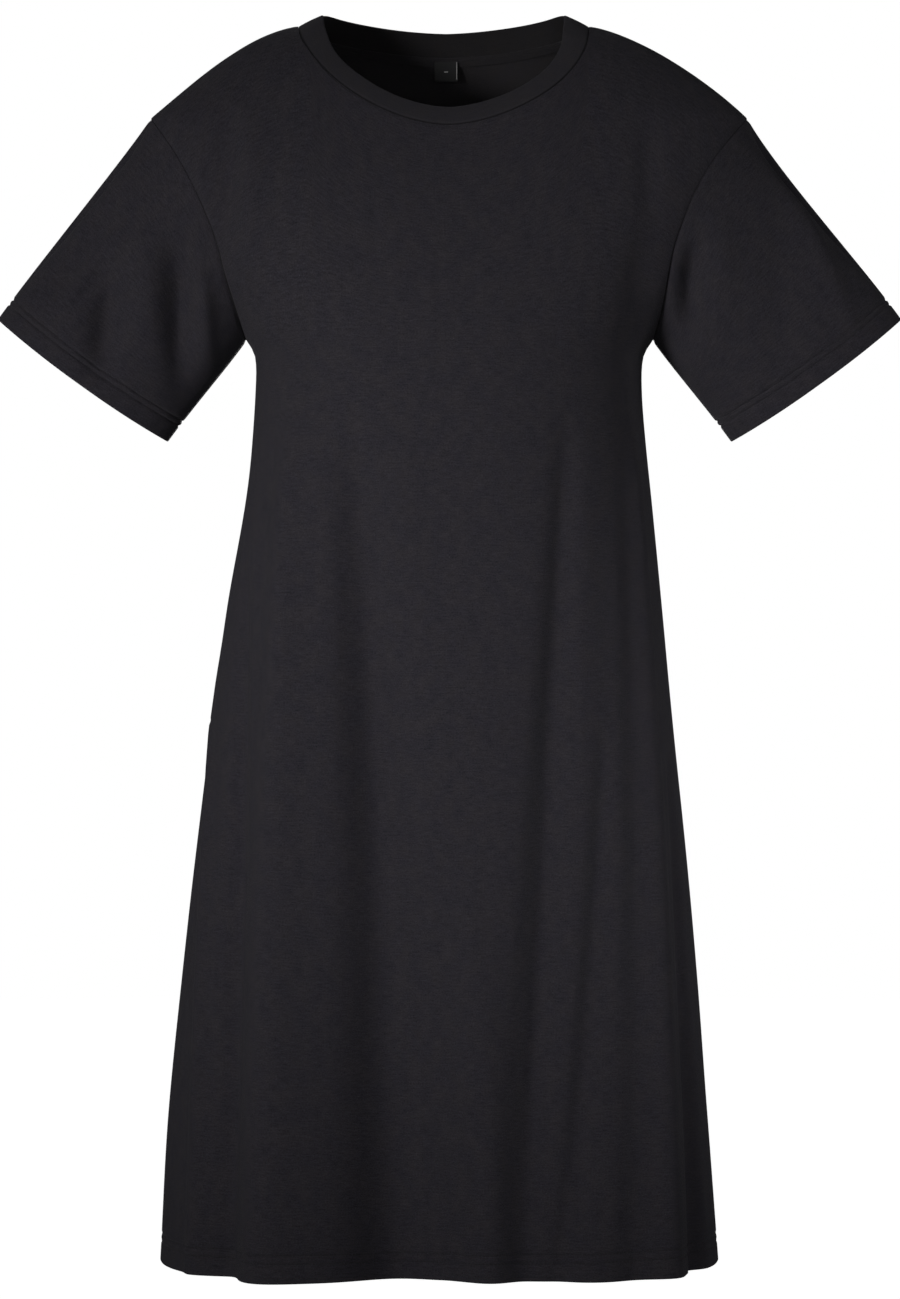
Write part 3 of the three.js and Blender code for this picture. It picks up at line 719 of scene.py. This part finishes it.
def shoulderTurning(hand, name):
    x = np.linspace(shoulder["neckX"] + 0.5, shoulder["tipX"] - 1, 60)
    share = (x - shoulder["neckX"]) / (shoulder["tipX"] - shoulder["neckX"])
    z = shoulder["tipZ"] * share ** shoulder["curve"]
    point, normal = bodySurface("back", hand * x, z)
    run = unit(np.gradient(point, axis=0))
    toBack = np.cross(run, normal)
    toBack = unit(toBack * np.sign(toBack[:, 1:2]))
    inside = point - normal * panel["wall"]
    return overlockedStrip(name, inside - toBack * 1.1, inside + toBack * turning["width"] * 0.8, -normal)


def neckTurning():
    # the neck seam's turning, pressed down onto the panels inside, with its sewn side up behind the band
    points, normals = neckLoop(neckband["around"])[:2]
    tangent = unit(np.roll(points, -1, 0) - np.roll(points, 1, 0))
    away = unit(np.cross(tangent, normals))
    edge = bandGrid["low"] + bandGrid["rise"] * 1.8 - bandGrid["normal"] * neckband["wall"]
    far = points - normals * panel["wall"] + away * turning["width"] * 0.75
    out = -unit(normals + bandGrid["normal"])
    edge, far, out = (np.vstack([part, part[:1]]) for part in (edge, far, out))
    strip, top = turningStrip("neck_seam_turning", edge, far, out)
    loops = stitchRun(top[-1], out, dict(overlock, pitch=2.0, length=2.2), alternate=1.0)
    chain = stitchRun(top[1] + (top[2] - top[1]) * 0.3, out, dict(overlock, pitch=2.6, length=2.3))
    return strip, [loops, chain]


print("turning the seams")
rightTurning, rightLoops = sideTurning(-1, "side_seam_right_turning")
leftTurning, leftLoops = sideTurning(1, "side_seam_left_turning")
rightArmhole, rightArmholeLoops = armholeTurning(-1, "armhole_right_turning")
leftArmhole, leftArmholeLoops = armholeTurning(1, "armhole_left_turning")
rightShoulder, rightShoulderLoops = shoulderTurning(-1, "shoulder_right_turning")
leftShoulder, leftShoulderLoops = shoulderTurning(1, "shoulder_left_turning")
neckStrip, neckLoops = neckTurning()
seamThread = stitchPiece("seam_overlock", [rightLoops, leftLoops, rightArmholeLoops, leftArmholeLoops,
                                           rightShoulderLoops, leftShoulderLoops] + neckLoops)

label = {"x": -2.5, "width": 16, "length": 14, "leaf": 0.5, "fold": 0.5, "markSize": 2.6}


def buildLabel():
    z = -neckline["back"]["drop"]
    sway = float(sectionAt("back", z)[3])
    point, normal = bodySurface("back", np.array([label["x"] - sway]), np.array([z]))
    top = point[0] - normal[0] * 1.6
    thick = 2 * label["leaf"] + label["fold"]
    y0 = top[1] - seamGap - thick
    middle = thick / 2
    bend = -label["length"] + middle
    path = [(0, 0.0), (0, -4.0), (0, -8.0), (0, bend)]
    for turn in np.linspace(0, np.pi, 7)[1:-1]:
        path.append((middle - math.cos(turn) * middle, bend - math.sin(turn) * middle))
    path += [(thick, bend), (thick, -8.0), (thick, -4.0), (thick, 0.0)]
    back = [(thick - label["leaf"], 0.0), (thick - label["leaf"], -8.0), (thick - label["leaf"], bend)]
    for turn in np.linspace(np.pi, 0, 5)[1:-1]:
        back.append((middle - math.cos(turn) * label["fold"] / 2, bend - math.sin(turn) * label["fold"] / 2))
    back += [(label["leaf"], bend), (label["leaf"], -8.0), (label["leaf"], 0.0)]
    xs = np.linspace(-label["width"] / 2, label["width"] / 2, 13)
    rows, v = [], []
    travelled = 0.0
    last = path[0]
    for depth, down in path + back:
        travelled += math.hypot(depth - last[0], down - last[1])
        last = (depth, down)
        rows.append(np.stack([label["x"] + xs, y0 + depth + 0 * xs, top[2] + down + 0 * xs], axis=-1))
        v.append(travelled)
    rows = np.array(rows)
    u = np.tile(xs, (len(rows), 1))
    vAll = np.tile(np.array(v)[:, None], (1, len(xs)))
    n, m = rows.shape[:2]
    faces, uvs = [], []
    for j in range(n):
        for i in range(m - 1):
            j2 = (j + 1) % n
            faces.append([j * m + i, j * m + i + 1, j2 * m + i + 1, j2 * m + i])
            uvs += [(u[j, a], vAll[b, i]) for a, b in ((i, j), (i + 1, j), (i + 1, j2), (i, j2))]
    for i in (0, m - 1):
        ring = [j * m + i for j in range(n)]
        faces.append(ring)
        uvs += [(0, 0)] * n
    piece = joinMesh("neck_label", rows.reshape(-1, 3), faces, uvs)
    size = label["markSize"] / 2
    centre = np.array([label["x"], y0 - 0.09, top[2] - label["length"] * 0.5])

    def bar(x0, z0, x1, z1, wide):
        way = unit(np.array([x1 - x0, 0, z1 - z0]))
        side = np.cross(way, [0, 1.0, 0]) * wide / 2
        a, b = centre + [x0, 0, z0], centre + [x1, 0, z1]
        deep = np.array([0, 0.1, 0])
        pts = np.array([a - side, a + side, b + side, b - side])
        pts = np.vstack([pts, pts + deep])
        return pts, [[0, 1, 2, 3], [7, 6, 5, 4], [0, 4, 5, 1], [1, 5, 6, 2], [2, 6, 7, 3], [3, 7, 4, 0]]

    edgeX = label["width"] / 2 - 0.5
    marks = [bar(-size, 0, size, 0, 0.55),
             bar(edgeX, label["length"] * 0.49, edgeX, -label["length"] * 0.36, 0.45)]
    return piece, stitchPiece("label_weft", marks)


print("weaving the label")
labelPiece, labelMark = buildLabel()

print("mixing the finishes")


def nodeGroup(name, inputs, outputs):
    group = bpy.data.node_groups.new(name, "ShaderNodeTree")
    for socketName, kind, value in inputs:
        socket = group.interface.new_socket(name=socketName, in_out="INPUT", socket_type=kind)
        if value is not None:
            socket.default_value = value
    for socketName, kind in outputs:
        group.interface.new_socket(name=socketName, in_out="OUTPUT", socket_type=kind)
    return group, group.nodes.new("NodeGroupInput"), group.nodes.new("NodeGroupOutput")


def addNode(tree, kind, **settings):
    node = tree.nodes.new(kind)
    for key, value in settings.items():
        setattr(node, key, value)
    return node


def mathNode(tree, operation, a, b=None, c=None):
    node = addNode(tree, "ShaderNodeMath", operation=operation)
    for k, value in enumerate((a, b, c)):
        if value is None:
            continue
        if isinstance(value, (int, float)):
            node.inputs[k].default_value = value
        else:
            tree.links.new(value, node.inputs[k])
    return node.outputs[0]


def clothPlace(tree):
    place = addNode(tree, "ShaderNodeUVMap", uv_map="cloth")  # millimetres round and down the cloth
    split = addNode(tree, "ShaderNodeSeparateXYZ")
    tree.links.new(place.outputs["UV"], split.inputs[0])
    return place.outputs["UV"], split.outputs["X"], split.outputs["Y"]


def rangeNode(tree, value, low, high):
    node = addNode(tree, "ShaderNodeMapRange")
    node.inputs["From Min"].default_value = low
    node.inputs["From Max"].default_value = high
    tree.links.new(value, node.inputs["Value"])
    return node.outputs[0]


def stretchedNoise(tree, vector, scale, detail, rough):
    stretch = addNode(tree, "ShaderNodeVectorMath", operation="MULTIPLY")
    tree.links.new(vector, stretch.inputs[0])
    stretch.inputs[1].default_value = scale
    noise = addNode(tree, "ShaderNodeTexNoise", noise_dimensions="3D")
    noise.inputs["Scale"].default_value = 1.0
    noise.inputs["Detail"].default_value = detail
    noise.inputs["Roughness"].default_value = rough
    tree.links.new(stretch.outputs[0], noise.inputs["Vector"])
    return noise.outputs[0]


def knitStitchGroup():
    # plain jersey: upright wales of V stitches
    group, given, result = nodeGroup("jerseyStitches", [
        ("Wale Width", "NodeSocketFloat", 0.62), ("Course Height", "NodeSocketFloat", 0.5)],
        [("Height", "NodeSocketFloat")])
    _, x, y = clothPlace(group)
    column = mathNode(group, "DIVIDE", x, given.outputs["Wale Width"])
    row = mathNode(group, "DIVIDE", y, given.outputs["Course Height"])
    inColumn = mathNode(group, "ABSOLUTE", mathNode(group, "SUBTRACT", mathNode(group, "FRACT", column), 0.5))
    slope = mathNode(group, "ADD", row, mathNode(group, "MULTIPLY", inColumn, 1.1))
    loop = mathNode(group, "ABSOLUTE", mathNode(group, "SINE", mathNode(group, "MULTIPLY", slope, math.pi)))
    wale = mathNode(group, "SINE", mathNode(group, "MULTIPLY", inColumn, 2 * math.pi))
    rounded = mathNode(group, "MULTIPLY_ADD", wale, 0.6, 0.4)
    height = mathNode(group, "MULTIPLY", loop, rounded)
    group.links.new(height, result.inputs["Height"])
    return group


def ribGroup():
    # one by one rib: rounded ridges that run up the band, with masks for painted shade in the furrows and
    # along the seam line
    group, given, result = nodeGroup("ribRidges", [("Rib Pitch", "NodeSocketFloat", 1.5)],
                                     [("Height", "NodeSocketFloat"), ("Furrow Shade", "NodeSocketFloat"),
                                      ("Seam", "NodeSocketFloat")])
    _, x, y = clothPlace(group)
    column = mathNode(group, "DIVIDE", x, given.outputs["Rib Pitch"])
    wave = mathNode(group, "ABSOLUTE", mathNode(group, "SINE", mathNode(group, "MULTIPLY", column, math.pi)))
    small = mathNode(group, "SINE", mathNode(group, "MULTIPLY", y, 2 * math.pi / 0.55))
    height = mathNode(group, "ADD", wave, mathNode(group, "MULTIPLY", small, 0.12))
    group.links.new(height, result.inputs["Height"])
    # painted shade: a mask for darker colour in the furrows between the ribs
    furrowShade = mathNode(group, "SUBTRACT", 1.0, mathNode(group, "POWER", wave, 0.5))
    group.links.new(furrowShade, result.inputs["Furrow Shade"])
    # painted shade: a mask along the seam at the band's lower edge, where the colour is darkened
    seamShadeMask = addNode(group, "ShaderNodeMapRange", interpolation_type="SMOOTHSTEP")
    for socketName, value in (("From Min", 0.4), ("From Max", 1.7), ("To Min", 1.0), ("To Max", 0.0)):
        seamShadeMask.inputs[socketName].default_value = value
    group.links.new(y, seamShadeMask.inputs["Value"])
    group.links.new(seamShadeMask.outputs[0], result.inputs["Seam"])
    return group


yarnGrain = {
    # grains to a millimetre round, down and through the cloth, then detail, roughness and share of the shade
    "slub": ((0.14, 0.85, 1.0), 4.0, 0.7, 0.4),
    "mottle": ((0.085, 0.07, 1.0), 3.0, 0.6, 0.15),
    "fine": ((0.9, 1.3, 1.0), 2.0, 0.6, 0.45),
    "contrast": (0.34, 0.66),  # closer together, the grain is stronger
    "patches": (0.4, 0.6),
}


def yarnGroup():
    # cotton yarn's unevenness: slubs that run with the courses, mottled dye, and a few pale lint flecks
    group, given, result = nodeGroup("cottonYarn", [
        ("Deep", "NodeSocketColor", (0.015, 0.014, 0.017, 1)),
        ("Light", "NodeSocketColor", (0.03, 0.028, 0.034, 1)),
        ("Lint", "NodeSocketColor", (0.16, 0.16, 0.17, 1)), ("Lint Share", "NodeSocketFloat", 0.006),
        ("Dye Drift", "NodeSocketFloat", 0.7)],
        [("Color", "NodeSocketColor"), ("Rough", "NodeSocketFloat"), ("Slub", "NodeSocketFloat")])
    vector = clothPlace(group)[0]
    grains = [yarnGrain[name] for name in ("slub", "mottle", "fine")]
    slub, mottle, fine = (stretchedNoise(group, vector, *grain[:3]) for grain in grains)
    blend = mathNode(group, "MULTIPLY", slub, yarnGrain["slub"][3])
    blend = mathNode(group, "MULTIPLY_ADD", mottle, yarnGrain["mottle"][3], blend)
    blend = mathNode(group, "MULTIPLY_ADD", fine, yarnGrain["fine"][3], blend)
    spread = rangeNode(group, blend, *yarnGrain["contrast"])
    tint = addNode(group, "ShaderNodeMix", data_type="RGBA")
    group.links.new(spread, tint.inputs["Factor"])
    group.links.new(given.outputs["Deep"], tint.inputs["A"])
    group.links.new(given.outputs["Light"], tint.inputs["B"])
    cells = addNode(group, "ShaderNodeTexVoronoi", voronoi_dimensions="2D", feature="F1")
    cells.inputs["Scale"].default_value = 0.085
    group.links.new(vector, cells.inputs["Vector"])
    reach = mathNode(group, "MULTIPLY", given.outputs["Lint Share"], 3.0)
    near = mathNode(group, "LESS_THAN", cells.outputs["Distance"], reach)
    pick = addNode(group, "ShaderNodeSeparateXYZ")
    group.links.new(cells.outputs["Color"], pick.inputs[0])
    chosen = mathNode(group, "MULTIPLY", near, mathNode(group, "LESS_THAN", pick.outputs["X"], 0.12))
    fleck = addNode(group, "ShaderNodeMix", data_type="RGBA")
    group.links.new(mathNode(group, "MULTIPLY", chosen, 0.2), fleck.inputs["Factor"])
    group.links.new(tint.outputs["Result"], fleck.inputs["A"])
    group.links.new(given.outputs["Lint"], fleck.inputs["B"])
    patch = rangeNode(group, mottle, *yarnGrain["patches"])
    dye = addNode(group, "ShaderNodeMix", data_type="RGBA", blend_type="MULTIPLY")
    drift = mathNode(group, "MULTIPLY", patch, given.outputs["Dye Drift"])
    group.links.new(drift, dye.inputs["Factor"])
    group.links.new(fleck.outputs["Result"], dye.inputs["A"])
    dye.inputs["B"].default_value = (1.0, 0.97, 0.88, 1)
    group.links.new(dye.outputs["Result"], result.inputs["Color"])
    group.links.new(mathNode(group, "MULTIPLY_ADD", slub, 0.14, 0.82), result.inputs["Rough"])
    group.links.new(slub, result.inputs["Slub"])
    return group


jerseyStitches, ribRidges, cottonYarn = knitStitchGroup(), ribGroup(), yarnGroup()


def clothMaterial(name, finish):
    material = bpy.data.materials.new(name)
    material.use_nodes = True
    tree = material.node_tree
    shader = tree.nodes["Principled BSDF"]
    yarn = addNode(tree, "ShaderNodeGroup", node_tree=cottonYarn)
    yarn.inputs["Deep"].default_value = finish["deep"] + (1,)
    yarn.inputs["Light"].default_value = finish["light"] + (1,)
    yarn.inputs["Lint Share"].default_value = finish["lint"]
    tree.links.new(yarn.outputs["Rough"], shader.inputs["Roughness"])
    bump = addNode(tree, "ShaderNodeBump")
    bump.inputs["Strength"].default_value = finish["bump"]
    bump.inputs["Distance"].default_value = finish["relief"] * mm
    if finish["knit"] == "rib":
        knit = addNode(tree, "ShaderNodeGroup", node_tree=ribRidges)
        knit.inputs["Rib Pitch"].default_value = finish["pitch"]
        shade = addNode(tree, "ShaderNodeMix", data_type="RGBA", blend_type="MULTIPLY")
        # painted shade: the colour is multiplied darker in the furrows, and along the seam line where the
        # finish gives a seam value
        paintedShade = mathNode(tree, "MULTIPLY", knit.outputs["Furrow Shade"], finish["furrowShade"])
        if "seam" in finish:
            # painted shade along the seam line, taken together with the furrow shade
            line = mathNode(tree, "MULTIPLY", knit.outputs["Seam"], finish["seam"])
            paintedShade = mathNode(tree, "MAXIMUM", paintedShade, line)
        tree.links.new(paintedShade, shade.inputs["Factor"])
        tree.links.new(yarn.outputs["Color"], shade.inputs["A"])
        shade.inputs["B"].default_value = (0.2, 0.2, 0.2, 1)
        tree.links.new(shade.outputs["Result"], shader.inputs["Base Color"])
    else:
        knit = addNode(tree, "ShaderNodeGroup", node_tree=jerseyStitches)
        knit.inputs["Wale Width"].default_value = finish["pitch"]
        knit.inputs["Course Height"].default_value = finish["pitch"] * 0.8
        tree.links.new(yarn.outputs["Color"], shader.inputs["Base Color"])
    height = mathNode(tree, "MULTIPLY_ADD", yarn.outputs["Slub"], finish["slub"], knit.outputs["Height"])
    tree.links.new(height, bump.inputs["Height"])
    tree.links.new(bump.outputs["Normal"], shader.inputs["Normal"])
    shader.inputs["Specular IOR Level"].default_value = finish["shine"]
    shader.inputs["Sheen Weight"].default_value = finish["fuzz"]
    shader.inputs["Sheen Roughness"].default_value = 0.45
    shader.inputs["Sheen Tint"].default_value = (0.75, 0.74, 0.8, 1)
    return material


# pitch is the width of a wale, rib or weft in millimetres, and relief the height of the bump
# the furrow value of each finish is how much painted shade darkens the colour in the furrows of rib, thread
# and tape
jerseyFinish = {
    "knit": "jersey", "deep": (0.0060, 0.0055, 0.0074), "light": (0.0298, 0.0275, 0.0350), "lint": 0.006,
    "pitch": 0.75, "relief": 0.16, "bump": 0.6, "slub": 0.9, "shine": 0.14, "fuzz": 0.05,
}
insideFinish = dict(jerseyFinish, deep=(0.0100, 0.0092, 0.0108), light=(0.0190, 0.0175, 0.0200), fuzz=0.04,
                    lint=0.004)
ribFinish = {
    "knit": "rib", "deep": (0.0130, 0.0121, 0.0148), "light": (0.0255, 0.0238, 0.0288), "lint": 0.002,
    "pitch": 1.1, "relief": 0.12, "bump": 0.4, "slub": 0.6, "shine": 0.14, "fuzz": 0.05, "furrowShade": 0.12,
    "seam": 0.9,  # how much painted shade darkens the colour along the seam line at the band's lower edge
}
# painted shade: the band's inside is a darker copy of the rib, standing in for the shade inside the neck
ribShadedInsideFinish = dict(ribFinish, deep=(0.0058, 0.0053, 0.0060), light=(0.0120, 0.0110, 0.0124), fuzz=0.02,
                       seam=0.0)
threadFinish = {
    "knit": "rib", "deep": (0.0060, 0.0056, 0.0068), "light": (0.0120, 0.0112, 0.0134), "lint": 0.0,
    "pitch": 0.3, "relief": 0.08, "bump": 0.4, "slub": 0.2, "shine": 0.3, "fuzz": 0.1, "furrowShade": 0.3,
}
tapeFinish = {
    "knit": "rib", "deep": (0.006, 0.006, 0.0065), "light": (0.012, 0.012, 0.013), "lint": 0.0,
    "pitch": 0.35, "relief": 0.06, "bump": 0.4, "slub": 0.2, "shine": 0.35, "fuzz": 0.0, "furrowShade": 0.4,
}
weftFinish = dict(tapeFinish, deep=(0.30, 0.30, 0.31), light=(0.42, 0.42, 0.43))

jersey = clothMaterial("black jersey", jerseyFinish)
jerseyInside = clothMaterial("black jersey inside", insideFinish)
rib = clothMaterial("black rib", ribFinish)
ribShadedInside = clothMaterial("black rib with painted shade inside", ribShadedInsideFinish)
thread = clothMaterial("black thread", threadFinish)
tape = clothMaterial("label tape", tapeFinish)
weft = clothMaterial("pale weft", weftFinish)


def dress(piece, slotName, *materials):
    for material in materials:
        piece.data.materials.append(material)
    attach(piece, "root")
    return piece


for piece in (frontPiece, backPiece, rightPiece, leftPiece):
    dress(piece, "jersey", jersey, jerseyInside)
# the band's second material is the rib copy with painted shade inside
dress(bandPiece, "rib", rib, ribShadedInside)
turnings = (rightTurning, leftTurning, rightArmhole, leftArmhole, rightShoulder, leftShoulder, neckStrip)
for piece in turnings:
    dress(piece, "jersey", jerseyInside)
for piece in (hemThread, rightThread, leftThread, seamThread):
    dress(piece, "jersey", thread)
dress(labelPiece, "label_tape", tape)
dress(labelMark, "label_tape", weft)

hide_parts("front")
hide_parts("back")
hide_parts("sleeve_right")
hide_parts("sleeve_left")
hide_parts("neckband")
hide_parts("label")


print("setting the studio")

studio = {
    "floor": -1.38,
    "floorGlow": 0.06,
    "sky": 1.0,
    "ambient": 0.022,
    "lights": [
        # name, place, size, power, spread in degrees, aim
        ("left key", (-1.6, -2.25, -0.28), 0.6, 2.7, 34, (0, -0.1, -0.36)),
        ("front fill", (0.3, -3.0, -0.35), 0.8, 0.75, 36, (0.03, -0.1, -0.37)),
        ("left edge", (-2.5, 0.0, -0.45), 1.0, 0.5, 120, (0, 0, -0.45)),
        ("back", (0.15, 2.95, -0.3), 0.7, 2.4, 34, (0, 0.1, -0.40)),
        ("right edge", (2.5, -0.4, -0.2), 0.8, 0.9, 40, (0.1, 0, -0.38)),
        ("right skirt", (1.9, -1.6, -0.5), 0.3, 0.08, 14, (0.19, -0.05, -0.58)),
    ],
}


def aim(piece, place, target):
    way = mathutils.Vector(target) - mathutils.Vector(place)
    piece.location = place
    piece.rotation_euler = way.to_track_quat("-Z", "Y").to_euler()


for name, place, size, power, spread, target in studio["lights"]:
    lamp = bpy.data.lights.new(name, "AREA")
    lamp.shape = "DISK"
    lamp.size = size
    lamp.energy = power
    lamp.spread = math.radians(spread)
    lampObject = bpy.data.objects.new(name, lamp)
    bpy.context.scene.collection.objects.link(lampObject)
    aim(lampObject, place, target)

world = bpy.data.worlds.new("pale studio")
bpy.context.scene.world = world
world.use_nodes = True
sky = world.node_tree
background = sky.nodes["Background"]
background.inputs["Color"].default_value = (1, 1, 1, 1)
path = sky.nodes.new("ShaderNodeLightPath")
more = studio["sky"] - studio["ambient"]
seen = mathNode(sky, "MULTIPLY_ADD", path.outputs["Is Camera Ray"], more, studio["ambient"])
sky.links.new(seen, background.inputs["Strength"])

floorMesh = bpy.data.meshes.new("studio_floor")
ring = [(math.cos(a) * 9, math.sin(a) * 9, studio["floor"]) for a in np.linspace(0, 2 * math.pi, 65)[:-1]]
floorMesh.from_pydata(ring, [], [list(range(64))])
floorPiece = bpy.data.objects.new("studio_floor", floorMesh)
bpy.context.scene.collection.objects.link(floorPiece)
floorMaterial = bpy.data.materials.new("pale floor")
floorMaterial.use_nodes = True
floorShader = floorMaterial.node_tree.nodes["Principled BSDF"]
floorShader.inputs["Base Color"].default_value = (0.8, 0.8, 0.8, 1)
floorShader.inputs["Roughness"].default_value = 0.9
floorShader.inputs["Emission Color"].default_value = (1, 1, 1, 1)
floorPath = floorMaterial.node_tree.nodes.new("ShaderNodeLightPath")
floorGlow = mathNode(floorMaterial.node_tree, "MULTIPLY_ADD", floorPath.outputs["Is Camera Ray"],
                     studio["sky"] - studio["floorGlow"], studio["floorGlow"])
floorMaterial.node_tree.links.new(floorGlow, floorShader.inputs["Emission Strength"])
floorMesh.materials.append(floorMaterial)

# scale is metres to a photo pixel at the side seams, and middle the place that the photo centres on
view = {"distance": 3.0, "photoHeight": 1299, "scale": 0.000685, "middle": (0.0003, -0.4264)}
cameraData = bpy.data.cameras.new("photo view")
cameraData.sensor_width = 36
cameraData.lens = cameraData.sensor_width * view["distance"] / (view["photoHeight"] * view["scale"])
camera = bpy.data.objects.new("photo view", cameraData)
camera.location = (view["middle"][0], -view["distance"], view["middle"][1])
camera.rotation_euler = (math.pi / 2, 0, 0)
bpy.context.scene.collection.objects.link(camera)
bpy.context.scene.camera = camera
bpy.context.scene.view_settings.view_transform = "Standard"
bpy.context.scene.view_settings.look = "None"

print("done")
